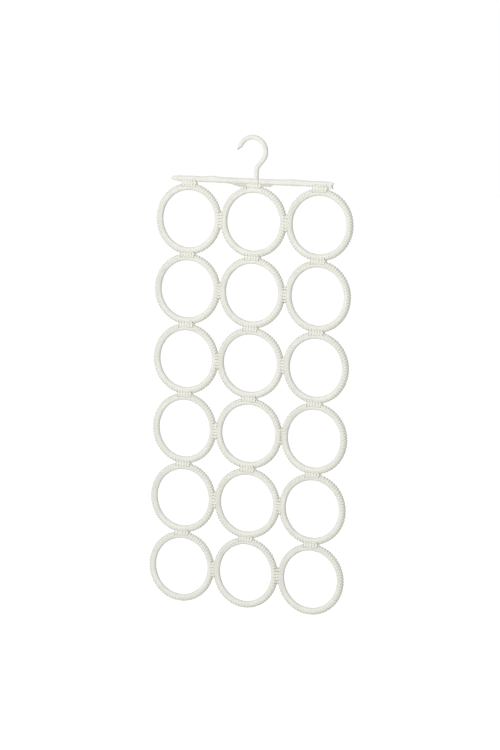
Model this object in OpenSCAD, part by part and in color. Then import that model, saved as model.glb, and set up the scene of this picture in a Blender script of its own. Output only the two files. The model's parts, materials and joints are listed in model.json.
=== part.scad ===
// Scarf hanger: a wire hook and cross bar in sewn fabric sleeves, with a curtain of
// padded fabric rings tied side by side in rows, and row under row with stitches that fold.
// Origin: the inside top of the hook, where it rests on a rod. +X right, -Y front, +Z up.

/* [Rings] */
// Clear width of each ring
ring_hole_d = 93; // [80:1:110]
// Thickness of the padded fabric sleeve round each ring
ring_sleeve_d = 10; // [8:0.2:12]
// Thickness of the plastic ring inside the sleeve
ring_core_d = 5; // [3:0.5:6]
// Room between the plastic ring and its sleeve
core_fit = 0.05; // [0.02:0.01:0.2]
// Height of the overlock stitching above the sleeve
seam_layer = 0.5; // [0.2:0.1:0.8]
// Room between the stitching and the sleeve
seam_fit = 0.03; // [0.02:0.01:0.1]
// How far the overlock stitching reaches round the section, each way from the outer edge
seam_wrap = 80; // [50:5:90]

/* [Grid] */
// Rings side by side in a row
columns = 3; // [2:1:3]
// Rows of rings below the cross bar
rows = 6; // [2:1:6]
// Gap between rows, which the hinge ties span
row_gap = 1; // [0.8:0.1:2]
// Gap between the cross bar and the top row
bar_gap = 3.6; // [1:0.2:5]
// Gap between the rings of a row, which the side ties span
column_gap = 2; // [0.8:0.1:4]

/* [Ties] */
// Stitches in each tie
tie_stitches = 5; // [3:1:7]
// Spacing of the stitches in a tie
tie_stitch_pitch = 3.6; // [2.4:0.2:4.4]
// Depth of a tie from front to back
tie_depth = 9.2; // [7:0.2:10]
// Radius of the dip between two stitches
tie_groove_r = 0.5; // [0.3:0.1:0.7]
// Clearance between a tie and the stitching it lies on
tie_clearance = 0.2; // [0.1:0.05:0.3]

/* [Cross bar] */
// Steel rod in the cross bar
bar_wire_d = 5; // [4:0.5:6]
// Fabric sleeve over the rod
bar_sleeve_d = 9.4; // [8:0.2:12]
// Reach of the cross bar to the left of the middle of the rings
bar_left = 149; // [130:1:170]
// Reach of the cross bar to the right of the middle of the rings
bar_right = 140; // [130:1:170]
// Length of the tapered, sewn up left end
bar_taper = 9; // [6:1:14]
// Radius of the closed tip at the left end
bar_tip_r = 3; // [2.6:0.2:4]
// Length of the flat, open right end past the rod
bar_tail = 14; // [10:1:16]
// Height of the flat right end
bar_tail_h = 11; // [9.5:0.5:14]
// Thickness of the flat right end
bar_tail_t = 3.4; // [2.4:0.2:5]
// Depth of the notch between the two lips of the right end
bar_notch = 4; // [2:0.5:7]

/* [Hook] */
// Steel wire in the hook
hook_wire_d = 4; // [3:0.5:5]
// Fabric sleeve over the hook wire
hook_sleeve_d = 8.2; // [6.4:0.2:9]
// Clear width inside the hook
hook_clear_d = 41; // [36:1:50]
// Where the hook ends, counted from the right over the top
hook_tip_angle = 165; // [150:5:180]
// How far the hook wire stops short of the sleeve's open end
hook_recess = 2; // [1:0.5:4]
// Centreline radius of the neck, where the hook turns down into its shank
neck_r = 8; // [6:0.5:12]
// Shank to the right of the hook's centre
shank_x = 7.6; // [4:0.2:12]
// Height of the hook's centre above the cross bar's axis
hook_rise = 47.5; // [44:0.5:60]
// Middle of the rings to the right of the hook's centre
grid_x = 2; // [-6:0.5:6]
// Room between a wire and its sleeve
wire_fit = 0.05; // [0.02:0.01:0.2]
// Gap of the seam where two sleeves meet
sleeve_seam = 0.3; // [0.2:0.1:0.6]

/* [Hidden] */
// segments of a small round, and of a wide one that a close fit depends on
smooth = 96;
fine = 360;
// spare length of a cutting solid past what it cuts
over = 1;
// each bend of a rod ends this far short of the next, and a bead this much proud joins them
bend_gap = 0.05;
bead = 0.02;

// ring sections, measured from the ring's centreline
ring_r = (ring_hole_d + ring_sleeve_d) / 2;
seam_r = ring_sleeve_d / 2 + seam_layer;
ring_od = 2 * (ring_r + seam_r);
row_pitch = ring_od + row_gap;
column_pitch = ring_od + column_gap;
tie_length = tie_stitches * tie_stitch_pitch;

// hook path: a wide bend about the hook's centre, then a tight neck into the shank
hook_r = (hook_clear_d + hook_sleeve_d) / 2;
hook_z = -hook_clear_d / 2;
neck_angle = acos((shank_x + neck_r) / (hook_r + neck_r));
neck_x = shank_x + neck_r;
neck_z = hook_z - (hook_r + neck_r) * sin(neck_angle);
recess_angle = hook_recess / hook_r * 180 / PI;
hook_gap_angle = bend_gap / hook_r * 180 / PI;
neck_gap_angle = bend_gap / neck_r * 180 / PI;

bar_z = hook_z - hook_rise;
bar_end_x = grid_x - bar_left;
bar_tail_x = grid_x + bar_right - bar_tail;
top_row_z = bar_z - bar_sleeve_d / 2 - bar_gap - ring_od / 2;

function row_z(row) = top_row_z - (row - 1) * row_pitch;
function column_x(column) = grid_x + (column - (columns + 1) / 2) * column_pitch;
// axis that the hinge ties of a row turn on above: the bar, or the row above
function upper_axis_z(row) = row == 1 ? bar_z : row_z(row - 1) - ring_r;
function lower_axis_z(row) = row_z(row) + ring_r;
function node_at(name, row) = str(name, "_", row);
function node_in(name, row, column) = str(name, "_", row, "_", column);

fabric = "#efeee8";
thread = "#e4e2d8";
steel = "#9a9da0";
plastic = "#d9d9d4";

// Turns a shape drawn in the XY plane up into the plane of the rings
module upright() {
    rotate([90, 0, 0]) children();
}

// A solid of revolution about an axis along X, from a profile of radius and length
module along_x() {
    rotate([0, 90, 0]) children();
}

// A stretch of a round rod bent about the Y axis, between two angles
module bend(radius, d, from_angle, to_angle) {
    upright()
        rotate([0, 0, from_angle])
            rotate_extrude(angle = to_angle - from_angle, $fn = smooth)
                translate([radius, 0])
                    circle(d = d, $fn = smooth);
}

// A round rod along the hook's path: a wide bend up to the tip, a tight neck and a shank
module hook_path(d, tip_angle, foot_z) {
    translate([0, 0, hook_z]) {
        bend(hook_r, d, hook_gap_angle - neck_angle, tip_angle);
        rotate([0, neck_angle, 0])
            translate([hook_r, 0, 0])
                sphere(d = d + 2 * bead, $fn = smooth);
    }
    translate([neck_x, 0, neck_z])
        bend(neck_r, d, 180 - neck_angle + neck_gap_angle, 180 - neck_gap_angle);
    translate([shank_x, 0, neck_z])
        sphere(d = d + 2 * bead, $fn = smooth);
    translate([shank_x, 0, foot_z])
        cylinder(d = d, h = neck_z - bend_gap - foot_z, $fn = smooth);
}

// A round rod along X between two places at the height of the cross bar
module bar_rod(d, from_x, to_x) {
    translate([from_x, 0, bar_z])
        along_x()
            cylinder(d = d, h = to_x - from_x, $fn = smooth);
}

// Steel wire of the hook, welded to the rod of the cross bar at its foot
module hook_wire() {
    color(steel)
        difference() {
            hook_path(hook_wire_d, hook_tip_angle - recess_angle, bar_z);
            bar_rod(bar_wire_d, shank_x - bar_wire_d, shank_x + bar_wire_d);
        }
}

// Fabric sleeve of the hook, cut off open at the tip and sewn to the bar at its foot
module hook_sleeve() {
    color(fabric)
        difference() {
            hook_path(hook_sleeve_d, hook_tip_angle, bar_z);
            hook_path(hook_wire_d + 2 * wire_fit, hook_tip_angle + recess_angle, bar_z - over);
            bar_rod(bar_sleeve_d + 2 * sleeve_seam, shank_x - bar_sleeve_d, shank_x + bar_sleeve_d);
        }
}

// Steel rod of the cross bar
module bar_wire() {
    color(steel)
        bar_rod(bar_wire_d, bar_end_x + bar_taper, bar_tail_x);
}

// Room for the rod, and for the hook wire that stands on it
module bar_bore(from_x, to_x) {
    bar_rod(bar_wire_d + 2 * wire_fit, from_x, to_x);
    translate([shank_x, 0, bar_z])
        cylinder(d = hook_wire_d + 2 * wire_fit, h = bar_sleeve_d, $fn = smooth);
}

// Left fabric sleeve of the cross bar, tapered and sewn shut at its end
module bar_sleeve_left() {
    taper_x = bar_end_x + bar_taper;
    color(fabric)
        difference() {
            union() {
                bar_rod(bar_sleeve_d, taper_x, shank_x - sleeve_seam / 2);
                translate([bar_end_x + bar_tip_r, 0, bar_z]) {
                    sphere(r = bar_tip_r, $fn = smooth);
                    along_x()
                        cylinder(r1 = bar_tip_r, d2 = bar_sleeve_d, h = bar_taper - bar_tip_r, $fn = smooth);
                }
            }
            bar_bore(taper_x, shank_x + over);
        }
}

// The flat end of the right sleeve: pressed together from front and back, and flared into
// two lips. Its side view and its top view cut it out of a cone that starts as the sleeve.
module pinched_end() {
    half_d = bar_sleeve_d / 2;
    half_h = bar_tail_h / 2;
    half_t = bar_tail_t / 2;
    translate([bar_tail_x, 0, bar_z])
        intersection() {
            along_x()
                cylinder(r1 = half_d, r2 = half_h + half_t, h = bar_tail, $fn = smooth);
            upright()
                linear_extrude(2 * bar_sleeve_d, center = true)
                    polygon([
                        [-over, half_h],
                        [bar_tail - half_t, half_h],
                        [bar_tail, half_h - half_t],
                        [bar_tail - bar_notch, 0],
                        [bar_tail, half_t - half_h],
                        [bar_tail - half_t, -half_h],
                        [-over, -half_h]
                    ]);
            linear_extrude(2 * bar_tail_h, center = true)
                polygon([
                    [-over, half_d + over],
                    [bar_tail, half_t],
                    [bar_tail, -half_t],
                    [-over, -half_d - over]
                ]);
        }
}

// Right fabric sleeve of the cross bar, with its open pinched end
module bar_sleeve_right() {
    color(fabric)
        difference() {
            union() {
                bar_rod(bar_sleeve_d, shank_x + sleeve_seam / 2, bar_tail_x);
                pinched_end();
            }
            bar_bore(shank_x - over, bar_tail_x);
        }
}

// A ring about the Y axis whose section is the children, drawn about the tube's centre
module ring_about(row, column) {
    translate([column_x(column), 0, row_z(row)])
        upright()
            rotate_extrude($fn = smooth)
                translate([ring_r, 0])
                    children();
}

// Section of the overlock stitching: a thin layer on the outer part of the sleeve
module seam_section() {
    reach = 2 * seam_r;
    difference() {
        circle(r = seam_r, $fn = smooth);
        circle(d = ring_sleeve_d + 2 * seam_fit, $fn = smooth);
        for (side = [-1, 1])
            polygon([
                [0, 0],
                [reach * cos(seam_wrap), side * reach * sin(seam_wrap)],
                [-reach, side * reach],
                [-reach, 0]
            ]);
    }
}

// Plastic ring inside a sleeve
module ring_core(row, column) {
    color(plastic)
        ring_about(row, column)
            circle(d = ring_core_d, $fn = smooth);
}

// Padded fabric sleeve round a ring
module ring_sleeve(row, column) {
    color(fabric)
        ring_about(row, column)
            difference() {
                circle(d = ring_sleeve_d, $fn = smooth);
                circle(d = ring_core_d + 2 * core_fit, $fn = smooth);
            }
}

// Overlock stitching that closes the sleeves of one row along their outer edges
module overlock_stitching(row) {
    color(thread)
        for (column = [1:columns])
            ring_about(row, column)
                seam_section();
}

// Space swept by a ring's edge as it turns about its own tube at the tie: a waisted roll
// about Z, as long as a tie, whose waist is a ring's radius
module ring_sweep() {
    waist_r = seam_r + tie_clearance;
    half = tie_length / 2 + over;
    rotate_extrude($fn = fine)
        difference() {
            translate([0, -half])
                square([waist_r + ring_r - sqrt(ring_r * ring_r - half * half), 2 * half]);
            translate([waist_r + ring_r, 0])
                circle(r = ring_r, $fn = fine);
        }
}

// Dips between the stitches of a tie, cut down its front and back
module stitch_dips(height) {
    for (side = [-1, 1], i = [1:tie_stitches - 1])
        translate([-tie_length / 2 + i * tie_stitch_pitch, side * tie_depth / 2, 0])
            cylinder(r = tie_groove_r, h = height, center = true, $fn = smooth);
}

// One hinge tie between an upper and a lower tube, centred between their axes
module hinge_tie(row) {
    span = upper_axis_z(row) - lower_axis_z(row);
    bar_cut_d = bar_sleeve_d + 2 * tie_clearance;
    difference() {
        cube([tie_length, tie_depth, span], center = true);
        translate([0, 0, -span / 2])
            along_x()
                ring_sweep();
        translate([0, 0, span / 2])
            along_x()
                if (row == 1)
                    cylinder(d = bar_cut_d, h = tie_length + 2 * over, center = true, $fn = fine);
                else
                    ring_sweep();
        stitch_dips(span);
    }
}

// Stitches that hang a row from the bar or from the row above, and fold both ways
module hinge_ties(row) {
    middle_z = (upper_axis_z(row) + lower_axis_z(row)) / 2;
    color(thread)
        for (column = [1:columns])
            translate([column_x(column), 0, middle_z])
                hinge_tie(row);
}

// Stitches that hold the rings of a row side by side
module side_ties(row) {
    span = column_pitch - 2 * ring_r;
    color(thread)
        for (column = [1:columns - 1])
            translate([column_x(column) + column_pitch / 2, 0, row_z(row)])
                difference() {
                    cube([span, tie_depth, tie_length], center = true);
                    for (side = [-1, 1])
                        translate([side * column_pitch / 2, 0, 0])
                            upright()
                                rotate_extrude($fn = fine)
                                    translate([ring_r, 0])
                                        circle(r = seam_r + tie_clearance, $fn = fine);
                    rotate([0, 90, 0])
                        stitch_dips(span);
                }
}

hook_wire();
hook_sleeve();
bar_wire();
bar_sleeve_left();
bar_sleeve_right();
for (row = [1:rows]) {
    for (column = [1:columns]) {
        ring_core(row, column);
        ring_sleeve(row, column);
    }
    overlock_stitching(row);
    side_ties(row);
    hinge_ties(row);
}
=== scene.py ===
# %% [markdown]
# # A scarf hanger of stitched fabric rings
#
# The real hanger is a wire hook and a rod in a sewn cloth sleeve. Under it hang six rows of
# three rings, each a plastic hoop in a cloth sleeve that is overlocked round its outer edge.
# Bunches of stitches tie the rings to each other and to the rod. This lesson dresses the
# measured model with cloth and thread. Sizes are read from that model where it has them, and
# the others are written in millimetres beside the piece that they belong to.

# %% Setup
import json
import math

import bmesh
import bpy
from mathutils import Matrix, Vector, noise


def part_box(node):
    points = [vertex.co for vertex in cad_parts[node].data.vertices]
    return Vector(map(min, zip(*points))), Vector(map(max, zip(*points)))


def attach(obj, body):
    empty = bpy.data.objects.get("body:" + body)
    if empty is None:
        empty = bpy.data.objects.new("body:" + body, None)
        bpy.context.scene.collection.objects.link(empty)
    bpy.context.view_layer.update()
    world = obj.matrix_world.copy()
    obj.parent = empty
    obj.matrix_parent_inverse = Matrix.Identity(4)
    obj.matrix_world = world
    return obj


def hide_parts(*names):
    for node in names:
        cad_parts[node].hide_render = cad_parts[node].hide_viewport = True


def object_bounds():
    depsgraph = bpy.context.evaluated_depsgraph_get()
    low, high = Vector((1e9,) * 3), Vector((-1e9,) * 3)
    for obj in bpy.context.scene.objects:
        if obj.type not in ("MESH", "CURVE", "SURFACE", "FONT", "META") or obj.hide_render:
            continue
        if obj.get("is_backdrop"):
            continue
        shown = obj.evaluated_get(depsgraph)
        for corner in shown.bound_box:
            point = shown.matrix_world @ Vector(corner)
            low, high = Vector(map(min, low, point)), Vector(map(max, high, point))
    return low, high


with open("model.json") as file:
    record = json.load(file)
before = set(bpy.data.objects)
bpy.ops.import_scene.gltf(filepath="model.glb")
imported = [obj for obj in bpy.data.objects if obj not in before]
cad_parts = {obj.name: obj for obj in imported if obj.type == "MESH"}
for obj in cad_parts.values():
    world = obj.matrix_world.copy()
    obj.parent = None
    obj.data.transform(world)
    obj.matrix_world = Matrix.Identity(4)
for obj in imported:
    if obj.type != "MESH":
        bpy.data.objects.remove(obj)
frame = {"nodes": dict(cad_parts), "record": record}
CAD_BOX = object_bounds()
MM = 0.001
ROWS = range(1, 7)
COLUMNS = range(1, 4)
X_AXIS = Vector((1, 0, 0))
Y_AXIS = Vector((0, 1, 0))
Z_AXIS = Vector((0, 0, 1))

# %% [markdown]
# ## Reading the sizes
#
# A ring is a tube bent round the Y axis, so the box round its sleeve gives both its radii:
# the depth of the box is the tube's thickness, and its width is the whole ring. The stitches'
# box gives the radius on which they lie, and the two boxes of the cross bar give its thickness
# and height. The boxes are read rather than copied, so the cloth follows a change of size.

# %% Sizes of the frame
def middle(node):
    """Centre of a node's box"""
    low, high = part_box(node)
    return (low + high) / 2


sleeve_low, sleeve_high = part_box("ring_sleeve_1_1")
TUBE_R = (sleeve_high.y - sleeve_low.y) / 2
RING_R = (sleeve_high.x - sleeve_low.x) / 2 - TUBE_R
RING_CENTRES = {(row, column): middle(f"ring_sleeve_{row}_{column}") for row in ROWS for column in COLUMNS}
SEAM_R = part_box("overlock_stitching_1")[1].z - RING_CENTRES[1, 1].z - RING_R

bar_left_low, bar_left_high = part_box("bar_sleeve_left")
bar_right_low, bar_right_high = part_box("bar_sleeve_right")
BAR_R = (bar_left_high.z - bar_left_low.z) / 2
BAR_Z = (bar_left_high.z + bar_left_low.z) / 2
SHANK_X = (bar_left_high.x + bar_right_low.x) / 2
print(f"radii: ring {RING_R / MM:.1f} mm, tube {TUBE_R / MM:.1f} mm, bar {BAR_R / MM:.1f} mm")
print(f"the shank stands {SHANK_X / MM:.1f} mm off the middle, and the bar lies at {BAR_Z / MM:.1f} mm")

# %% [markdown]
# ## Colours and a node helper
#
# Colours are written as hex values, as a paint chart gives them, and one function turns
# them to the linear values that a shader works in. One small function adds a node, sets it
# and links it, so that each material below reads as a short list.

# %% Colour and node helpers
# A wave texture of scale 1 repeats every pi / 10 of its units
WAVE_UNIT = math.pi / 10


def linear(hex_colour):
    """RGBA in linear light from an sRGB hex value"""
    channels = [int(hex_colour[i:i + 2], 16) / 255 for i in (1, 3, 5)]
    return [c / 12.92 if c <= 0.04045 else ((c + 0.055) / 1.055) ** 2.4 for c in channels] + [1]


def add(tree, kind, settings=None, links=None):
    """A node of a kind, with its settings by name and its links by input"""
    made = tree.nodes.new(kind)
    for name, value in (settings or {}).items():
        if isinstance(name, int) or name in made.inputs:
            made.inputs[name].default_value = value
        else:
            setattr(made, name, value)
    for name, source in (links or {}).items():
        tree.links.new(source, made.inputs[name])
    return made


def new_material(name):
    """An empty material with its output"""
    material = bpy.data.materials.new(name)
    material.use_nodes = True
    material.node_tree.nodes.clear()
    output = material.node_tree.nodes.new("ShaderNodeOutputMaterial")
    return material, material.node_tree, output


# %% [markdown]
# ## Cloth of the sleeves
#
# The sleeves are an off-white polyester cloth, closely woven from spun yarn. To the eye it
# is matte, with a faint nap, and its colour drifts a little where it is pulled tight. The
# weave is two crossed waves on the cloth's own UV map, whose units are metres of cloth, so
# it follows the tube. A noise in object space would slide over the bends instead. Real yarns
# lie 0.4 mm apart, and they are drawn twice as coarse to show.

# %% Woven polyester
YARN_SPACING = 0.8 * MM
TINT_PATCH = 11.111 * MM
CREASE_SIZE = 3.846 * MM
CLOTH = "#eeeee7"
CLOTH_IN_FOLDS = "#e7e6de"


def woven_polyester():
    material, tree, output = new_material("woven_polyester_cloth")
    cloth = add(tree, "ShaderNodeTexCoord")
    in_space = {"Vector": cloth.outputs["Object"]}
    weave = []
    for direction in ("X", "Y"):
        settings = {"bands_direction": direction, "Scale": WAVE_UNIT / YARN_SPACING}
        settings.update({"Distortion": 0.6, "Detail": 1})
        weave.append(add(tree, "ShaderNodeTexWave", settings, {"Vector": cloth.outputs["UV"]}))
    yarns = {0: weave[0].outputs["Fac"], 1: weave[1].outputs["Fac"]}
    crossed = add(tree, "ShaderNodeMath", {"operation": "MULTIPLY"}, yarns)
    # A slow drift of tint, from cloth in folds to cloth pulled tight
    drift = add(tree, "ShaderNodeTexNoise", {"Scale": 1 / TINT_PATCH, "Detail": 3}, in_space)
    tint = add(tree, "ShaderNodeValToRGB", links={"Fac": drift.outputs["Fac"]})
    tint.color_ramp.elements[0].position = 0.3
    tint.color_ramp.elements[0].color = linear(CLOTH_IN_FOLDS)
    tint.color_ramp.elements[1].position = 0.65
    tint.color_ramp.elements[1].color = linear(CLOTH)
    # Soft creases under the weave
    creases = add(tree, "ShaderNodeTexNoise", {"Scale": 1 / CREASE_SIZE, "Detail": 2}, in_space)
    relief = {"Strength": 0.12, "Distance": 0.4 * MM}
    soft = add(tree, "ShaderNodeBump", relief, {"Height": creases.outputs["Fac"]})
    relief = {"Strength": 0.2, "Distance": 0.15 * MM}
    links = {"Height": crossed.outputs[0], "Normal": soft.outputs["Normal"]}
    fine = add(tree, "ShaderNodeBump", relief, links)
    # Matte yarn with a faint nap
    settings = {"Roughness": 0.85, "Sheen Weight": 0.15, "Sheen Roughness": 0.5, "Specular IOR Level": 0.3}
    links = {"Base Color": tint.outputs["Color"], "Normal": fine.outputs["Normal"]}
    shader = add(tree, "ShaderNodeBsdfPrincipled", settings, links)
    tree.links.new(shader.outputs[0], output.inputs["Surface"])
    return material


CLOTH_MATERIAL = woven_polyester()

# %% [markdown]
# ## Thread of the seams
#
# The overlock thread is thick and loosely twisted, in the cloth's colour. Its twist shows
# as fine slanting lines across each stitch, which one wave on the thread's UV map makes as a
# bump and as painted shade between the plies.
# Modelled plies would show the same from here, at many times the faces.

# %% Twisted thread
TWIST_SPACING = 1.1 * MM
TWIST_SLANT = math.radians(35)
THREAD = "#edede5"
# Painted shade: the thread's colour in the grooves between the plies
THREAD_SHADED_BETWEEN_PLIES = "#e2e1d6"


def twisted_thread():
    material, tree, output = new_material("twisted_polyester_thread")
    strand = add(tree, "ShaderNodeTexCoord")
    turned = {"Rotation": (0, 0, TWIST_SLANT)}
    slant = add(tree, "ShaderNodeMapping", turned, {"Vector": strand.outputs["UV"]})
    settings = {"Scale": WAVE_UNIT / TWIST_SPACING, "Distortion": 0.8, "Detail": 1}
    twist = add(tree, "ShaderNodeTexWave", settings, {"Vector": slant.outputs["Vector"]})
    # Painted shade between the plies: darker there than on them
    tint = add(tree, "ShaderNodeValToRGB", links={"Fac": twist.outputs["Fac"]})
    tint.color_ramp.elements[0].color = linear(THREAD_SHADED_BETWEEN_PLIES)
    tint.color_ramp.elements[1].position = 0.5
    tint.color_ramp.elements[1].color = linear(THREAD)
    settings = {"Strength": 0.2, "Distance": 0.2 * MM}
    relief = add(tree, "ShaderNodeBump", settings, {"Height": twist.outputs["Fac"]})
    # Filament thread, a little smoother than the cloth
    settings = {"Roughness": 0.7, "Sheen Weight": 0.1, "Specular IOR Level": 0.35}
    links = {"Base Color": tint.outputs["Color"], "Normal": relief.outputs["Normal"]}
    shader = add(tree, "ShaderNodeBsdfPrincipled", settings, links)
    tree.links.new(shader.outputs[0], output.inputs["Surface"])
    return material


THREAD_MATERIAL = twisted_thread()

# %% [markdown]
# ## Wire and plastic inside
#
# The wire and the rod are drawn steel, which is left with fine lines. The hoops are moulded
# polypropylene, slightly waxy. The cloth hides the rod and the hoops, so their measured
# solids stay as they are and only get a material. The hook's wire is made anew further on.

# %% Steel and polypropylene
DRAWING_LINES = 1.111 * MM
MOULD_GRAIN = 1.429 * MM


def drawn_steel():
    material, tree, output = new_material("drawn_steel_wire")
    place = add(tree, "ShaderNodeTexCoord")
    # Fine lines that the drawing die leaves in grey metal
    settings = {"Scale": 1 / DRAWING_LINES, "Detail": 2}
    lines = add(tree, "ShaderNodeTexNoise", settings, {"Vector": place.outputs["Object"]})
    settings = {"Strength": 0.2, "Distance": 0.05 * MM}
    relief = add(tree, "ShaderNodeBump", settings, {"Height": lines.outputs["Fac"]})
    settings = {"Base Color": linear("#a2a4a6"), "Metallic": 1.0, "Roughness": 0.4}
    shader = add(tree, "ShaderNodeBsdfPrincipled", settings, {"Normal": relief.outputs["Normal"]})
    tree.links.new(shader.outputs[0], output.inputs["Surface"])
    return material


def moulded_polypropylene():
    material, tree, output = new_material("moulded_polypropylene")
    place = add(tree, "ShaderNodeTexCoord")
    # A faint grain from the mould on waxy white plastic
    settings = {"Scale": 1 / MOULD_GRAIN, "Detail": 2}
    skin = add(tree, "ShaderNodeTexNoise", settings, {"Vector": place.outputs["Object"]})
    settings = {"Strength": 0.1, "Distance": 0.05 * MM}
    relief = add(tree, "ShaderNodeBump", settings, {"Height": skin.outputs["Fac"]})
    settings = {"Base Color": linear("#dcdcd6"), "Roughness": 0.45, "IOR": 1.49}
    shader = add(tree, "ShaderNodeBsdfPrincipled", settings, {"Normal": relief.outputs["Normal"]})
    tree.links.new(shader.outputs[0], output.inputs["Surface"])
    return material


INNER_MATERIALS = {"steel_wire": drawn_steel(), "ring_plastic": moulded_polypropylene()}
for part in frame["record"]["subparts"]:
    if part["material_slot"] in INNER_MATERIALS:
        mesh = frame["nodes"][part["node"]].data
        mesh.materials.clear()
        mesh.materials.append(INNER_MATERIALS[part["material_slot"]])

# %% [markdown]
# ## Sweeping a loop along a path
#
# Sleeves, stitches and ties are all one loop of edges pushed along a path. The helper
# extrudes the loop from place to place. It writes two numbers on each vertex as it goes:
# how far along the path it lies, and how far round the loop. A second helper turns them
# into the UV map, and a third makes the finished object and hands it to its body.

# %% Sweep, unroll and finish
def start_loop(bm, radius_across, radius_up, count):
    """An oval loop in the XY plane, with its way round noted on its vertices"""
    around = bm.verts.layers.float.get("around") or bm.verts.layers.float.new("around")
    bm.verts.layers.float.get("along") or bm.verts.layers.float.new("along")
    verts = bmesh.ops.create_circle(bm, segments=count, radius=1)["verts"]
    bmesh.ops.scale(bm, verts=verts, vec=(radius_across, radius_up, 1))
    for step, vert in enumerate(verts):
        vert[around] = step / count
    return verts, [edge for edge in bm.edges if edge.verts[0] in verts]


def sweep(bm, verts, edges, places):
    """Pushes a loop through places, each a matrix and a distance along the path"""
    along = bm.verts.layers.float["along"]
    bmesh.ops.transform(bm, matrix=places[0][0], verts=verts)
    for (before, _), (after, distance) in zip(places, places[1:]):
        made = bmesh.ops.extrude_edge_only(bm, edges=edges)["geom"]
        fresh = {item for item in made if isinstance(item, bmesh.types.BMVert)}
        bmesh.ops.transform(bm, matrix=after @ before.inverted(), verts=list(fresh))
        for vert in fresh:
            vert[along] = distance
        edges = [e for e in made if isinstance(e, bmesh.types.BMEdge) and fresh.issuperset(e.verts)]
    return list(fresh), edges


def extrude_rim(bm, rim):
    """Extrudes the edges of an open end, and gives the new vertices and the new rim"""
    made = bmesh.ops.extrude_edge_only(bm, edges=rim)["geom"]
    fresh = [item for item in made if isinstance(item, bmesh.types.BMVert)]
    rim = [e for e in made if isinstance(e, bmesh.types.BMEdge) and all(v in fresh for v in e.verts)]
    return fresh, rim


def close_ends(bm):
    """Caps each open end"""
    bmesh.ops.holes_fill(bm, edges=[edge for edge in bm.edges if edge.is_boundary], sides=0)


def unroll(bm, girth, length=None):
    """UV map in metres of cloth, from the numbers that the sweep left on the vertices"""
    along = bm.verts.layers.float["along"]
    around = bm.verts.layers.float["around"]
    uv = bm.loops.layers.uv.new("cloth")
    for face in bm.faces:
        rounds = [loop.vert[around] for loop in face.loops]
        lengths = [loop.vert[along] for loop in face.loops]
        for loop, share, distance in zip(face.loops, rounds, lengths):
            if max(rounds) - share > 0.5:
                share += 1
            if length and max(lengths) - distance > length / 2:
                distance += length
            loop[uv].uv = (distance, share * girth)


def join(whole, bm):
    """Adds what a bmesh holds to another one, and frees it"""
    mesh = bpy.data.meshes.new("part_of_a_piece")
    bm.to_mesh(mesh)
    bm.free()
    whole.from_mesh(mesh)
    bpy.data.meshes.remove(mesh)


def finished(bm, name, material, body, slot_name, *nodes):
    """The object made from a bmesh, riding on its body and standing for its nodes"""
    bmesh.ops.recalc_face_normals(bm, faces=bm.faces)
    mesh = bpy.data.meshes.new(name)
    bm.to_mesh(mesh)
    bm.free()
    mesh.shade_smooth()
    mesh.materials.append(material)
    piece = bpy.data.objects.new(name, mesh)
    bpy.context.scene.collection.objects.link(piece)
    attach(piece, body)
    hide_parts(*nodes)
    print(f"{name}: {len(mesh.polygons)} faces")
    return piece


# %% [markdown]
# ## The seam wanders
#
# The overlock seam runs round each ring's outer edge, but nobody sews it dead straight: it
# drifts a few degrees to the front and back. Both the sleeve's lip and its stitches are
# turned about the tube by the same wave, so they stay together. The rings also hang with a
# slight twist of their own, because the ties that join them are soft, and they touch at the
# ties only, so a helper tells how much room is left beside them. Angles and radii in the
# tube make these moves short to write, so two more helpers turn points to them and back.

# %% Ring variations
RING_TWIST = {
    1: (0.5, 1, 1), 2: (2, 0, -2), 3: (1, 2.2, -2),
    4: (-1.5, 2.2, -1), 5: (1, 1, 0.5), 6: (2, -1, 0),
}
SEAM_DRIFT = math.radians(9)
HINGE_GAP = 0.1 * MM
SIDE_GAP = 0.6 * MM


def drift_of(row, column, turn):
    """How far the seam has strayed about the tube, at an angle round the ring"""
    return SEAM_DRIFT * math.sin(turn * (1 + column % 2) + 2.1 * row + 1.3 * column)


def ring_place(row, column):
    """Where a ring hangs, with its twist"""
    twist = math.radians(RING_TWIST[row][column - 1])
    return Matrix.Translation(RING_CENTRES[row, column]) @ Matrix.Rotation(twist, 4, Z_AXIS)


def smooth_step(share):
    share = min(1, max(0, share))
    return share * share * (3 - 2 * share)


def bow(offset):
    """How far a ring's edge has curved away, to the side of where it is tied"""
    return RING_R - math.sqrt(RING_R ** 2 - offset ** 2)


def tie_turns(row):
    """The angles round a ring at which hinge ties hold it, at its top and bottom"""
    return [math.pi / 2, -math.pi / 2] if row < ROWS[-1] else [math.pi / 2]


def room_at(row, column, turn):
    """How far stitches can stand out, at an angle round the ring, before they press on a neighbour"""
    near = [(tie, HINGE_GAP) for tie in tie_turns(row)]
    near += [(math.pi, SIDE_GAP)] if column > COLUMNS[0] else []
    near += [(0, SIDE_GAP)] if column < COLUMNS[-1] else []
    ways = [(min(1, abs(math.remainder(turn - tie, 2 * math.pi))), gap) for tie, gap in near]
    return min(gap + bow(RING_R * way) for way, gap in ways)


def twist_shift(row, x):
    """How far the twist of the rings moves what lies at x in a row, to the back"""
    shares = [max(0, 1 - abs(x - RING_CENTRES[row, column].x) / (RING_R + SEAM_R)) for column in COLUMNS]
    nearest = max(COLUMNS, key=lambda column: shares[column - 1])
    at = RING_CENTRES[row, nearest].x
    return (x - at) * math.sin(math.radians(RING_TWIST[row][nearest - 1]))


def tube_angles(co):
    """Angle round the ring, angle about the tube from its outer edge, and radius in the tube"""
    turn = math.atan2(co.z, co.x)
    out = math.hypot(co.x, co.z) - RING_R
    return turn, math.atan2(co.y, out), math.hypot(co.y, out)


def on_tube(turn, angle, radius):
    """The point at those angles and that radius"""
    out = RING_R + radius * math.cos(angle)
    return Vector((out * math.cos(turn), radius * math.sin(angle), out * math.sin(turn)))


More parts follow.
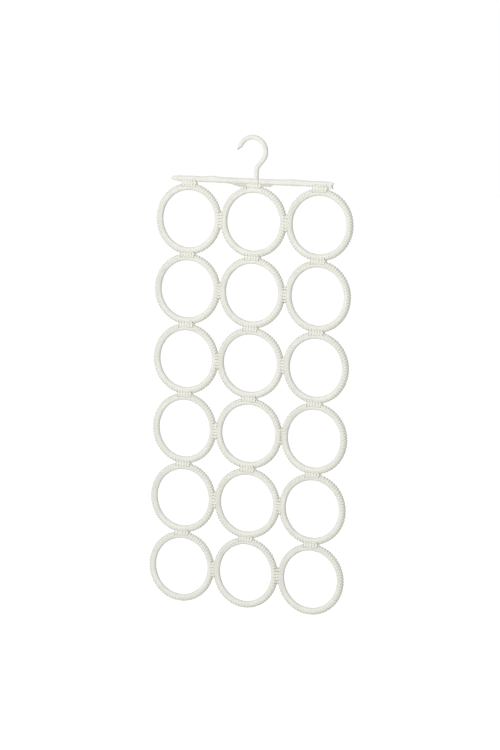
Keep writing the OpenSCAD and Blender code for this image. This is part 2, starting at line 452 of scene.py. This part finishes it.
# %% [markdown]
# ## Ring sleeves
#
# Each sleeve is a strip of cloth closed round a hoop. A cloth simulation could wrap it, but
# the hoop holds it so tightly that one loop swept round the ring gives the same tube. Then
# each vertex moves a little: the cloth rises to a lip where its two edges meet in the seam,
# and it puckers on the inside of the bend, where it has too much length.

# %% Ring sleeves
SLEEVE_ROUND = 28
SLEEVE_STEPS = 216
LIP = 1.05 * MM
LIP_SQUEEZED = 0.4 * MM
LIP_SPREAD = math.radians(55)
SLEEVE_SLIM = 0.15 * MM
SLIM_SCALE = 1.7
INNER_SHARE = 0.35
PUCKER = 0.28 * MM
PUCKER_SPACING = 5 * MM


def ring_sleeve(row, column):
    bm = bmesh.new()
    verts, edges = start_loop(bm, TUBE_R, TUBE_R, SLEEVE_ROUND)
    step = 2 * math.pi / SLEEVE_STEPS
    out = Matrix.Translation((RING_R, 0, 0))
    places = [(Matrix.Rotation(-i * step, 4, Y_AXIS) @ out, i * step * RING_R) for i in range(SLEEVE_STEPS)]
    _, last_edges = sweep(bm, verts, edges, places)
    bmesh.ops.bridge_loops(bm, edges=edges + last_edges)
    waves = RING_R / PUCKER_SPACING
    for vert in bm.verts:
        turn, angle, radius = tube_angles(vert.co)
        lip = min(LIP, LIP_SQUEEZED + room_at(row, column, turn)) * math.exp(-((angle / LIP_SPREAD) ** 2))
        inside = max(0, INNER_SHARE - math.cos(angle)) / (1 + INNER_SHARE)
        on_circle = Vector((math.cos(turn), math.sin(turn), 0))
        at = on_circle * waves + Vector((7 * row, 3 * column, angle * 0.8))
        slow = noise.noise((on_circle + Vector((0, 0, row + 4 * column))) * SLIM_SCALE)
        radius += lip + PUCKER * inside * noise.noise(at) + SLEEVE_SLIM * (slow - 1 - inside)
        vert.co = on_tube(turn, angle + drift_of(row, column, turn), radius)
    unroll(bm, 2 * math.pi * TUBE_R, 2 * math.pi * RING_R)
    bmesh.ops.transform(bm, matrix=ring_place(row, column), verts=bm.verts)
    return finished(
        bm, f"cloth_ring_{row}_{column}", CLOTH_MATERIAL, f"ring_row_{row}", "sleeve_fabric",
        f"ring_sleeve_{row}_{column}",
    )


for row in ROWS:
    for column in COLUMNS:
        ring_sleeve(row, column)

# %% [markdown]
# ## Overlock stitches
#
# A stitch is thick thread laid over the edge from front to back, and its strands lie so
# close that they show as one rounded rib. One rib is swept with a few dozen faces, and the
# spin operator repeats it round the ring. An array along a curve would do too, but spinning
# keeps the spacing exact. Where a ring touches its neighbour the ribs are pressed flat, and
# where a tie joins it to the row above or below, the tie's own stitches take their place.

# %% Overlock stitches
STITCHES = 72
STITCH_WIDTH = 3.6 * MM
STITCH_HEIGHT = 1.2 * MM
STITCH_PROUD = 1.0 * MM
STITCH_FRONT = 0.4 * MM
STITCH_REACH = math.radians(100)
STITCH_SLANT = 2.2 * MM
STITCH_SPANS = 8
STITCH_BEDDED = 0.62 * STITCH_HEIGHT
STITCH_SINKS_AT = 0.8
STITCH_SINKS_BY = 4 * STITCH_HEIGHT
STITCH_UNEVEN = 0.12 * MM
STITCH_ASTRAY = 0.4 * MM
TIE_HALF = 11.4 * MM
STITCH_SECTION = (
    (-0.5, -0.35), (-0.43, 0.25), (-0.22, 0.58), (0, 0.66), (0.22, 0.58), (0.43, 0.25), (0.5, -0.35),
)


def stitch(bm):
    """One stitch over the outer edge, at the place where the ring crosses the X axis"""
    around = bm.verts.layers.float.new("around")
    bm.verts.layers.float.new("along")
    verts = [bm.verts.new((across * STITCH_WIDTH, up * STITCH_HEIGHT, 0)) for across, up in STITCH_SECTION]
    edges = [bm.edges.new((a, b)) for a, b in zip(verts, verts[1:] + verts[:1])]
    for step, vert in enumerate(verts):
        vert[around] = step / (len(verts) - 1)
    places = []
    for i in range(STITCH_SPANS + 1):
        share = 2 * i / STITCH_SPANS - 1
        sunk = STITCH_SINKS_BY * max(0, abs(share) - STITCH_SINKS_AT)
        proud = STITCH_PROUD * math.cos(share * math.pi / 2) + STITCH_FRONT * math.cos(share * math.pi / 3)
        radius = SEAM_R + proud - STITCH_BEDDED - sunk
        turned = Matrix.Rotation(share * STITCH_REACH, 4, Z_AXIS)
        stood = Matrix(((0, 1, 0, 0), (0, 0, -1, 0), (-1, 0, 0, 0), (0, 0, 0, 1)))
        lift = Matrix.Translation((radius, 0, 0))
        slant = Matrix.Translation((RING_R, 0, share * STITCH_SLANT / 2))
        places.append((slant @ turned @ lift @ stood, (share + 1) * STITCH_REACH * SEAM_R))
    sweep(bm, verts, edges, places)
    close_ends(bm)


def overlock_stitches(row):
    whole = bmesh.new()
    for column in COLUMNS:
        bm = bmesh.new()
        stitch(bm)
        unroll(bm, 2 * STITCH_WIDTH)
        pitch = 2 * math.pi / STITCHES
        bmesh.ops.spin(
            bm, geom=bm.verts[:] + bm.edges[:] + bm.faces[:], cent=(0, 0, 0), axis=Y_AXIS,
            angle=2 * math.pi - pitch, steps=STITCHES - 1, use_duplicate=True,
        )
        ties = tie_turns(row)
        spare = []
        for vert in bm.verts:
            turn, angle, radius = tube_angles(vert.co)
            centre = round(turn / pitch) * pitch
            if any(RING_R * abs(math.remainder(centre - tie, 2 * math.pi)) < TIE_HALF for tie in ties):
                spare.append(vert)
            pressed = max(0, STITCH_PROUD - room_at(row, column, centre)) * max(0, math.cos(angle))
            radius += STITCH_UNEVEN * noise.noise(Vector((centre * 40, row, column))) - pressed
            turn += STITCH_ASTRAY / RING_R * noise.noise(Vector((centre * 90, column, row)))
            vert.co = on_tube(turn, angle + drift_of(row, column, turn), radius)
        bmesh.ops.delete(bm, geom=spare, context="VERTS")
        bmesh.ops.transform(bm, matrix=ring_place(row, column), verts=bm.verts)
        join(whole, bm)
    return finished(
        whole, f"overlock_stitches_{row}", THREAD_MATERIAL, f"ring_row_{row}", "seam_thread",
        f"overlock_stitching_{row}",
    )


for row in ROWS:
    overlock_stitches(row)

# %% [markdown]
# ## Ties
#
# A tie is five thick stitches that reach from one tube to the next, front and back, and the
# threads that cross between the tubes fill the gap as one bunch. Between the rows they are
# all that the hanger folds on, so they ride on their own body: each end of a stitch lies
# round a tube and slides round it as the row turns. A stitch follows an arc round the upper
# tube, a straight run across the gap and an arc round the lower tube. A bent strip of cloth
# would be simpler, but it would lose the ribs that the real ties show.

# %% Ties
TIE_STITCHES = 5
TIE_PITCH = 4.9 * MM
TIE_THREAD = (2.5 * MM, 0.6 * MM)
TIE_ROUND = 8
TIE_LIFT = 0.1 * MM
TIE_LEAVES = [math.radians(degrees) for degrees in (26, 41, 46, 41, 26)]
TIE_ENDS = {"hinge_ties": math.radians(84), "side_ties": math.radians(60)}
TIE_LOOSE = 0.4
TIE_SETTLE = 3 * MM
BAR_CLOTH = 0.4 * MM
UNDER_FLAP = math.radians(55)
FLAP_REACH = 20 * MM
BUNCH_HALF = 13.4 * MM
BUNCH_DEPTH = 4.6 * MM
BUNCH_TAPER = 0.6
BUNCH_SHARES = (-1, -0.85, -0.6, 0, 0.6, 0.85, 1)


def tie_stitch(bm, offset, upper, lower, upper_r, lower_r, side, leaves, ends):
    """A stitch on one side, from the tube with its axis at height upper to the one at lower"""
    path = []
    for axis_z, tube_r, way in ((upper, upper_r, -1), (lower, lower_r, 1)):
        angles = [ends, (ends + leaves) / 2, leaves]
        if way == 1:
            angles.reverse()
        for angle in angles:
            sunk = TIE_THREAD[1] if angle == ends else 0
            reach = tube_r + TIE_LIFT - sunk
            point = Vector((offset, side * reach * math.sin(angle), axis_z + way * reach * math.cos(angle)))
            lean = math.pi / 2 - angle if way == -1 else angle - math.pi / 2
            path.append((point, lean))
    places = []
    distance = 0
    for i, (point, lean) in enumerate(path):
        if i:
            distance += (point - path[i - 1][0]).length
        places.append((Matrix.Translation(point) @ Matrix.Rotation(side * lean, 4, X_AXIS), distance))
    verts, edges = start_loop(bm, *TIE_THREAD, TIE_ROUND)
    sweep(bm, verts, edges, places)


def bunch(bm, upper, lower, upper_r, lower_r):
    """The threads that pass between the tubes from front to back, as one bunch along X"""
    middle_z = (upper - upper_r + lower + lower_r) / 2
    half_gap = (upper - upper_r - lower - lower_r) / 2
    stand = Matrix.Rotation(math.pi / 2, 4, Y_AXIS)
    places = []
    for share in BUNCH_SHARES:
        x = share * BUNCH_HALF
        height = half_gap + bow(x) + (1.2 - abs(share)) * MM
        depth = BUNCH_DEPTH * (1 - BUNCH_TAPER * share * share)
        turned = Matrix.Translation((x, 0, middle_z)) @ stand
        places.append((turned @ Matrix.Diagonal((height, depth, 1, 1)), x))
    verts, edges = start_loop(bm, 1, 1, 2 * TIE_ROUND)
    sweep(bm, verts, edges, places)


def tie(bm, upper, lower, upper_r, lower_r, upper_bends, ends):
    """A bunch of stitches between two tubes that lie along X"""
    for i in range(TIE_STITCHES):
        offset = (i - (TIE_STITCHES - 1) / 2) * TIE_PITCH
        loose = TIE_LOOSE * bow(offset)
        for side in (-1, 1):
            above = upper_r + (loose if upper_bends else 0)
            tie_stitch(bm, offset, upper, lower, above, lower_r + loose, side, TIE_LEAVES[i], ends)
    bunch(bm, upper, lower, upper_r, lower_r)


def tied_piece(row, kind, body, placements, upper_is_bar=False):
    """All the ties of one kind in a row, each built at the origin and moved to its place"""
    whole = bmesh.new()
    for place, span in placements:
        bm = bmesh.new()
        upper_r = BAR_R + BAR_CLOTH if upper_is_bar else SEAM_R
        under_flap = upper_is_bar and abs(place.translation.x - SHANK_X) < FLAP_REACH
        ends = UNDER_FLAP if under_flap else TIE_ENDS[kind]
        tie(bm, span / 2, -span / 2, upper_r, SEAM_R, not upper_is_bar, ends)
        close_ends(bm)
        unroll(bm, 2 * (TIE_THREAD[0] + TIE_THREAD[1]))
        bmesh.ops.transform(bm, matrix=place, verts=bm.verts)
        if kind == "side_ties":
            at = place.translation.x
            for vert in bm.verts:
                share = smooth_step((vert.co.x - at + TIE_SETTLE) / (2 * TIE_SETTLE))
                left = twist_shift(row, min(vert.co.x, at - MM))
                right = twist_shift(row, max(vert.co.x, at + MM))
                vert.co.y += left + (right - left) * share
        join(whole, bm)
    return finished(whole, f"{kind}_stitches_{row}", THREAD_MATERIAL, body, "seam_thread", f"{kind}_{row}")


for row in ROWS:
    lower_z = RING_CENTRES[row, 1].z + RING_R
    upper_z = BAR_Z if row == 1 else RING_CENTRES[row - 1, 1].z - RING_R
    hinges = [
        (Matrix.Translation((RING_CENTRES[row, column].x, 0, (upper_z + lower_z) / 2)), upper_z - lower_z)
        for column in COLUMNS
    ]
    tied_piece(row, "hinge_ties", f"row_ties_{row}", hinges, row == 1)
    sides = []
    for column in COLUMNS[:-1]:
        left, right = RING_CENTRES[row, column], RING_CENTRES[row, column + 1]
        turned = Matrix.Translation((left + right) / 2) @ Matrix.Rotation(math.pi / 2, 4, Y_AXIS)
        sides.append((turned, right.x - left.x - 2 * RING_R))
    tied_piece(row, "side_ties", f"ring_row_{row}", sides)

# %% [markdown]
# ## Hook sleeve and its wire
#
# The measured model has a hook with one wide bend and a tight neck. On the real one the wide
# bend ends in a small corner, from which the wire slopes straight down to a neck and a short
# shank. So the path is made anew here, of arcs and straight runs whose planes are known at
# each distance from the tip, which a drawn curve wouldn't give. The sleeve is swept along it,
# cut off slanting at the tip and turned back inside there. The cloth crumples at the corner
# and at the neck. The wire follows the same path and takes the place of the model's wire,
# which would come out through this cloth.

# %% Path of the hook
HOOK_TUBE_R = 3.8 * MM
HOOK_R = 23.5 * MM
HOOK_CENTRE = Vector((-2.7 * MM, 0, -20.4 * MM))
HOOK_FOOT_X = SHANK_X - 2.5 * MM
HOOK_TIP = math.radians(165)
HOOK_ROUND_END = math.radians(22)
CORNER_R = 7 * MM
SLOPE = math.radians(40)
NECK_R = 15 * MM
HOOK_STEP = 1.6 * MM


def at_turn(centre, radius, turn):
    """The plane across a bend about the Y axis, at an angle from its right hand side"""
    turned = Matrix.Rotation(-turn, 4, Y_AXIS)
    return Matrix.Translation(centre) @ turned @ Matrix.Translation((radius, 0, 0))


CORNER_CENTRE = at_turn(HOOK_CENTRE, HOOK_R - CORNER_R, -HOOK_ROUND_END).translation
SLOPE_START = at_turn(CORNER_CENTRE, CORNER_R, -SLOPE)
SLOPE_LENGTH = (SLOPE_START.translation.x - HOOK_FOOT_X - NECK_R * (1 - math.cos(SLOPE))) / math.sin(SLOPE)
SLOPE_END = SLOPE_START @ Matrix.Translation((0, 0, -SLOPE_LENGTH))
NECK_CENTRE = (SLOPE_END @ Matrix.Translation((NECK_R, 0, 0))).translation
STRETCHES = (
    HOOK_R * (HOOK_TIP + HOOK_ROUND_END), CORNER_R * (SLOPE - HOOK_ROUND_END), SLOPE_LENGTH,
    NECK_R * SLOPE, NECK_CENTRE.z - BAR_Z - 0.7 * BAR_R,
)
HOOK_LENGTH = sum(STRETCHES)


def hook_place(distance):
    """The plane across the hook's path, at a distance from its tip"""
    starts = [sum(STRETCHES[:i]) for i in range(5)]
    stretch = max(i for i in range(5) if distance >= starts[i] or i == 0)
    gone = distance - starts[stretch]
    if stretch == 0:
        return at_turn(HOOK_CENTRE, HOOK_R, HOOK_TIP - gone / HOOK_R)
    if stretch == 1:
        return at_turn(CORNER_CENTRE, CORNER_R, -HOOK_ROUND_END - gone / CORNER_R)
    if stretch == 2:
        return SLOPE_START @ Matrix.Translation((0, 0, -gone))
    if stretch == 3:
        return at_turn(NECK_CENTRE, -NECK_R, gone / NECK_R - SLOPE)
    return Matrix.Translation((HOOK_FOOT_X, 0, NECK_CENTRE.z - gone))


def hook_places(begin, step):
    """The planes across the hook's path from a distance on, down to the rod"""
    steps = round(HOOK_LENGTH / step)
    distances = [begin + (HOOK_LENGTH - begin) * i / steps for i in range(steps + 1)]
    return [(hook_place(distance), distance) for distance in distances]


print(f"the hook's path is {HOOK_LENGTH / MM:.0f} mm long")

# %% Hook sleeve and wire
HOOK_ROUND = 24
HOOK_WALL = 0.8 * MM
HOOK_HOLLOW = 5 * MM
HEM_PUSH = 0.3 * MM
MOUTH_SLANT = 3.8 * MM
MOUTH_REACH = 9 * MM
CRUMPLE = 0.35 * MM
CRUMPLE_SPACING = 3.1 * MM
HOOK_UNEVEN = 0.2 * MM
HOOK_SLIM = 0.1 * MM
CORNER_AT = STRETCHES[0]
CORNER_REACH = 6 * MM
NECK_AT = sum(STRETCHES[:3]) + STRETCHES[3] / 2
NECK_REACH = 8 * MM
WIRE_R = 2 * MM
WIRE_ROUND = 16
WIRE_RECESS = 3.2 * MM


def hook_sleeve():
    bm = bmesh.new()
    verts, edges = start_loop(bm, HOOK_TUBE_R, HOOK_TUBE_R, HOOK_ROUND)
    sweep(bm, verts, edges, hook_places(0, HOOK_STEP))
    along = bm.verts.layers.float["along"]
    for vert in bm.verts:
        distance = vert[along]
        away = vert.co - hook_place(distance).translation
        bend = math.exp(-(((distance - NECK_AT) / NECK_REACH) ** 2)) * max(0, away.x / HOOK_TUBE_R)
        bend += math.exp(-(((distance - CORNER_AT) / CORNER_REACH) ** 2)) * max(0, -away.x / HOOK_TUBE_R)
        crumple = CRUMPLE * bend * math.sin(2 * math.pi * distance / CRUMPLE_SPACING)
        uneven = HOOK_UNEVEN * noise.noise(Vector((distance * 150, away.y * 300, away.x * 300)))
        vert.co += away.normalized() * (crumple + uneven - HOOK_SLIM)
        if distance < MOUTH_REACH:
            outward = ((vert.co - HOOK_CENTRE).length - HOOK_R) / HOOK_TUBE_R
            turn = MOUTH_SLANT * outward * (1 - distance / MOUTH_REACH) / HOOK_R
            vert.co = HOOK_CENTRE + Matrix.Rotation(-turn, 3, Y_AXIS) @ (vert.co - HOOK_CENTRE)
    mouth = [edge for edge in bm.edges if edge.is_boundary and all(v[along] == 0 for v in edge.verts)]
    inner = 1 - HOOK_WALL / HOOK_TUBE_R
    for push, shrink in ((-HEM_PUSH, (1 + inner) / 2), (0, 2 * inner / (1 + inner)), (HOOK_HOLLOW, 1)):
        fresh, mouth = extrude_rim(bm, mouth)
        bmesh.ops.scale(bm, verts=fresh, vec=(shrink, shrink, 1), space=hook_place(0).inverted())
        pushed = Matrix.Rotation(push / HOOK_R, 3, Y_AXIS)
        bmesh.ops.rotate(bm, cent=HOOK_CENTRE, matrix=pushed, verts=fresh)
    close_ends(bm)
    unroll(bm, 2 * math.pi * HOOK_TUBE_R)
    return finished(bm, "hook_cloth", CLOTH_MATERIAL, "hanger", "sleeve_fabric", "hook_sleeve")


def hook_wire():
    """The wire inside, from a little way in at the mouth down to the rod that it is welded to"""
    bm = bmesh.new()
    verts, edges = start_loop(bm, WIRE_R, WIRE_R, WIRE_ROUND)
    sweep(bm, verts, edges, hook_places(WIRE_RECESS, 2 * HOOK_STEP))
    close_ends(bm)
    unroll(bm, 2 * math.pi * WIRE_R)
    steel = INNER_MATERIALS["steel_wire"]
    return finished(bm, "hook_wire_core", steel, "hanger", "steel_wire", "hook_wire")


hook_sleeve()
hook_wire()

# %% [markdown]
# ## Cross bar sleeves
#
# Two sleeves meet at the hook's foot. The left one tapers to a tip that is sewn shut. The
# right one runs on past the rod, where it is pressed flat and left open like a fish's tail.
# The cloth is loose on the rod: it stands up in a low fold on either side, and its seam
# allowance hangs under the rod in a thin flap, widest near the shank. Each sleeve is a loop
# swept through stations of their own depth and height, since its section changes on the way,
# and the flap is the lowest few vertices of each station drawn down.

# %% Cross bar sleeves
BAR_ROUND = 48
BAR_STEP = 2 * MM
SLEEVES_MEET = SHANK_X + 2.5 * MM
MEET_R = 0.8 * BAR_R
MEET_HALF_GAP = 0.4 * MM
MEET_ROUNDING = 0.1 * MM
LEFT_TAPER = 14 * MM
LEFT_TIP_R = 3.5 * MM
LEFT_TIP_DEPTH = 0.85 * LEFT_TIP_R
LEFT_TIP_TURNS = (0.25, 0.7, 1.15)
LEFT_LIFT = 0.6 * MM
TAIL_LENGTH = 14 * MM
TAIL_HALF_HEIGHT = 5.6 * MM
TAIL_HALF_DEPTH = 2.3 * MM
TAIL_NOTCH = 4.5 * MM
TAIL_WALL = 0.7 * MM
TAIL_HEM = 0.97
TAIL_DROOP = 1.2 * MM
UPPER_LIP_BENT = 2.4 * MM
LOWER_LIP_BACK = 2.2 * MM
FOLDS = ((-73 * MM, 11 * MM, 1.5 * MM), (68 * MM, 12 * MM, 1.4 * MM))
FOLD_SPREAD = 0.75
BAR_UNEVEN = 0.35 * MM
BAR_SLIM = 0.1 * MM
FLAP_LEFT = 5.5 * MM
FLAP_RIGHT = 3.4 * MM
FLAP_ENDS = (-48 * MM, 35 * MM)
FLAP_SLOPES = (28 * MM, 5 * MM)
FLAP_HALF = math.radians(10)
FLAP_CLEAR = 2 * MM


def flap_depth(x):
    """How far the seam's flap hangs below the bar, clear of the ring under it"""
    if x < SHANK_X:
        depth = FLAP_LEFT * smooth_step((x - FLAP_ENDS[0]) / FLAP_SLOPES[0])
    else:
        depth = FLAP_RIGHT * smooth_step((FLAP_ENDS[1] - x) / FLAP_SLOPES[1])
    return min(depth, FLAP_CLEAR + bow(min(RING_R, abs(x - RING_CENTRES[1, 2].x))))


def shape_bar(bm):
    """Folds, seam and small unevenness of the cloth"""
    for vert in bm.verts:
        x = vert.co.x
        y, z = vert.co.y, vert.co.z - BAR_Z
        up = math.atan2(y, z)
        down = math.remainder(up - math.pi, 2 * math.pi)
        fold = sum(high * math.exp(-(((x - at) / wide) ** 2)) for at, wide, high in FOLDS)
        fold *= math.exp(-((up / FOLD_SPREAD) ** 2))
        uneven = BAR_UNEVEN * noise.noise(Vector((x * 60, y * 200, z * 200)))
        scale = 1 + (fold + uneven - BAR_SLIM) / max(math.hypot(y, z), MM)
        vert.co.y *= scale
        vert.co.z = BAR_Z + z * scale - (flap_depth(x) if abs(down) < FLAP_HALF else 0)


def bar_places(stations):
    """Planes across the bar, each at a place along it with its half depth and half height"""
    stand = Matrix.Rotation(math.pi / 2, 4, Y_AXIS)
    return [
        (Matrix.Translation((x, 0, BAR_Z)) @ stand @ Matrix.Diagonal((half_z, half_y, 1, 1)), x)
        for x, half_y, half_z in stations
    ]


def bar_left():
    bm = bmesh.new()
    start = bar_left_low.x
    end = SLEEVES_MEET - MEET_HALF_GAP
    stations = []
    for turn in LEFT_TIP_TURNS:
        x = start + LEFT_TIP_R * (1 - math.cos(turn))
        stations.append((x, LEFT_TIP_DEPTH * math.sin(turn), LEFT_TIP_R * math.sin(turn)))
    straight = end - start - LEFT_TIP_R
    count = round(straight / BAR_STEP)
    for i in range(count + 1):
        gone = straight * i / count
        share = smooth_step(gone / LEFT_TAPER)
        half_y = LEFT_TIP_DEPTH + (BAR_R - LEFT_TIP_DEPTH) * share
        stations.append((start + LEFT_TIP_R + gone, half_y, LEFT_TIP_R + (BAR_R - LEFT_TIP_R) * share))
    stations.append((end + MEET_ROUNDING, MEET_R, MEET_R))
    verts, edges = start_loop(bm, 1, 1, BAR_ROUND)
    sweep(bm, verts, edges, bar_places(stations))
    for vert in bm.verts:
        vert.co.z += LEFT_LIFT * (1 - smooth_step((vert.co.x - start) / LEFT_TAPER))
    shape_bar(bm)
    close_ends(bm)
    unroll(bm, 2 * math.pi * BAR_R)
    return finished(bm, "bar_cloth_left", CLOTH_MATERIAL, "hanger", "sleeve_fabric", "bar_sleeve_left")


def bar_right():
    bm = bmesh.new()
    start = SLEEVES_MEET + MEET_HALF_GAP
    end = bar_right_high.x
    tail = end - TAIL_LENGTH
    count = round((end - start) / BAR_STEP)
    stations = [(start - MEET_ROUNDING, MEET_R, MEET_R)]
    for i in range(count + 1):
        x = start + (end - start) * i / count
        share = smooth_step((x - tail) / (TAIL_LENGTH * 0.8))
        half_y = BAR_R + (TAIL_HALF_DEPTH - BAR_R) * share
        stations.append((x, half_y, BAR_R + (TAIL_HALF_HEIGHT - BAR_R) * share))
    verts, edges = start_loop(bm, 1, 1, BAR_ROUND)
    verts, mouth = sweep(bm, verts, edges, bar_places(stations))
    for share, wall in ((1, 0.5), (-1, 1), (-8, 1)):
        fresh, mouth = extrude_rim(bm, mouth)
        shrink = 1 - TAIL_WALL * wall / 2 / TAIL_HALF_DEPTH
        for vert in fresh:
            z = BAR_Z + (vert.co.z - BAR_Z) * TAIL_HEM
            vert.co = Vector((end + share * 0.5 * MM, vert.co.y * shrink, z))
    for vert in bm.verts:
        near = smooth_step((vert.co.x - tail) / TAIL_LENGTH)
        z = (vert.co.z - BAR_Z) / TAIL_HALF_HEIGHT
        vert.co.x -= TAIL_NOTCH * near * (1 - min(1, abs(z)) ** 1.2) + LOWER_LIP_BACK * near * max(0, -z)
        vert.co.z -= TAIL_DROOP * near + UPPER_LIP_BENT * near ** 4 * max(0, z)
    shape_bar(bm)
    close_ends(bm)
    unroll(bm, 2 * math.pi * BAR_R)
    return finished(bm, "bar_cloth_right", CLOTH_MATERIAL, "hanger", "sleeve_fabric", "bar_sleeve_right")


bar_left()
bar_right()

# %% [markdown]
# ## Camera
#
# The camera stands to the right and a little above, far off with a long lens, as a
# catalogue picture is taken. It leans by a degree, because the hanger hangs a little askew,
# and leaning the camera leaves the model upright in its frame.

# %% Camera
CAMERA_AZIMUTH = math.radians(24.39)
CAMERA_ELEVATION = math.radians(6.225)
CAMERA_ROLL = math.radians(1.343)
CAMERA_DISTANCE = 4.769
CAMERA_RISE = 0.0379
CAMERA_SHIFT = 0.8 * MM
CAMERA_LENS = 140.6
SENSOR_WIDTH = 36
FAR_CLIP = 100

GRID_MIDDLE = (RING_CENTRES[1, 2] + RING_CENTRES[6, 2]) / 2


def look():
    back = Vector((
        math.sin(CAMERA_AZIMUTH) * math.cos(CAMERA_ELEVATION),
        -math.cos(CAMERA_AZIMUTH) * math.cos(CAMERA_ELEVATION),
        math.sin(CAMERA_ELEVATION),
    ))
    right = Vector((math.cos(CAMERA_AZIMUTH), math.sin(CAMERA_AZIMUTH), 0))
    up = back.cross(right)
    leaned_right = right * math.cos(CAMERA_ROLL) + up * math.sin(CAMERA_ROLL)
    leaned_up = up * math.cos(CAMERA_ROLL) - right * math.sin(CAMERA_ROLL)
    camera = bpy.data.objects.new("camera", bpy.data.cameras.new("camera"))
    bpy.context.scene.collection.objects.link(camera)
    turned = Matrix((leaned_right, leaned_up, back)).transposed().to_4x4()
    spot = GRID_MIDDLE + back * CAMERA_DISTANCE + leaned_up * CAMERA_RISE + leaned_right * CAMERA_SHIFT
    camera.matrix_world = Matrix.Translation(spot) @ turned
    camera.data.lens = CAMERA_LENS
    camera.data.sensor_width = SENSOR_WIDTH
    camera.data.clip_end = FAR_CLIP
    bpy.context.scene.camera = camera


look()

# %% [markdown]
# ## Floor and light
#
# A white room: a pale floor below the hanger, one large soft lamp in front and above, and an
# even world. The camera sees the world as plain white. The floor adds a little of its own
# light to what the camera sees, so that it reads white but still keeps the hanger's shadow.

# %% Floor and light
FLOOR_DROP = 0.3
FLOOR_SIZE = 40
WORLD_STRENGTH = 0.465
FLOOR_GLOW = 0.6
LAMP_SPOT = (-0.3, -3.3, 1.5)
LAMP_SIZE = 1.6
LAMP_WATTS = 67.5


def seen_directly(tree):
    """A value of 1 on the rays that show the background to the eye, also by way of gloss or glass"""
    ray = add(tree, "ShaderNodeLightPath")
    rays = {0: ray.outputs["Is Camera Ray"], 1: ray.outputs["Is Glossy Ray"]}
    glossy = add(tree, "ShaderNodeMath", {"operation": "MAXIMUM"}, rays)
    rays = {0: glossy.outputs[0], 1: ray.outputs["Is Transmission Ray"]}
    return add(tree, "ShaderNodeMath", {"operation": "MAXIMUM"}, rays)


def pale_floor():
    bm = bmesh.new()
    bmesh.ops.create_grid(bm, x_segments=1, y_segments=1, size=FLOOR_SIZE / 2)
    bmesh.ops.translate(bm, verts=bm.verts, vec=(0, 0, CAD_BOX[0].z - FLOOR_DROP))
    mesh = bpy.data.meshes.new("floor")
    bm.to_mesh(mesh)
    bm.free()
    material, tree, output = new_material("matt_studio_paper")
    seen = seen_directly(tree)
    amount = add(tree, "ShaderNodeMath", {"operation": "MULTIPLY", 1: FLOOR_GLOW}, {0: seen.outputs[0]})
    glow = add(tree, "ShaderNodeEmission", links={"Strength": amount.outputs[0]})
    paper = add(tree, "ShaderNodeBsdfDiffuse", {"Color": linear("#f6f6f4")})
    both = add(tree, "ShaderNodeAddShader", links={0: paper.outputs[0], 1: glow.outputs[0]})
    tree.links.new(both.outputs[0], output.inputs["Surface"])
    mesh.materials.append(material)
    floor = bpy.data.objects.new("floor", mesh)
    bpy.context.scene.collection.objects.link(floor)
    floor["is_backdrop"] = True


def even_world():
    world = bpy.data.worlds.new("white_room")
    world.use_nodes = True
    tree = world.node_tree
    tree.nodes.clear()
    seen = seen_directly(tree)
    span = {"To Min": WORLD_STRENGTH, "To Max": 1.0}
    strength = add(tree, "ShaderNodeMapRange", span, {"Value": seen.outputs[0]})
    white = {"Color": (1, 1, 1, 1)}
    background = add(tree, "ShaderNodeBackground", white, {"Strength": strength.outputs[0]})
    output = add(tree, "ShaderNodeOutputWorld", links={"Surface": background.outputs[0]})
    bpy.context.scene.world = world


def soft_lamp():
    light = bpy.data.lights.new("key_front", "AREA")
    light.size = LAMP_SIZE
    light.energy = LAMP_WATTS
    lamp = bpy.data.objects.new("key_front", light)
    lamp.location = GRID_MIDDLE + Vector(LAMP_SPOT)
    lamp.rotation_euler = (-Vector(LAMP_SPOT)).to_track_quat("-Z", "Y").to_euler()
    bpy.context.scene.collection.objects.link(lamp)


pale_floor()
even_world()
soft_lamp()
bpy.context.scene.view_settings.view_transform = "Standard"

# %% [markdown]
# ## Sizes of the boxes
#
# The dressed hanger should stay in the measured model's box, apart from cloth and thread that
# stand a little proud. Both boxes are gathered, and the depth of each is printed.

# %% Sizes of the boxes
boxes = {"cad": [list(corner) for corner in CAD_BOX]}
boxes["visual"] = [list(corner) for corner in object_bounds()]
depths = [(corners[1][1] - corners[0][1]) / MM for corners in boxes.values()]
print(f"depth of the model {depths[0]:.1f} mm, of the dressed hanger {depths[1]:.1f} mm")
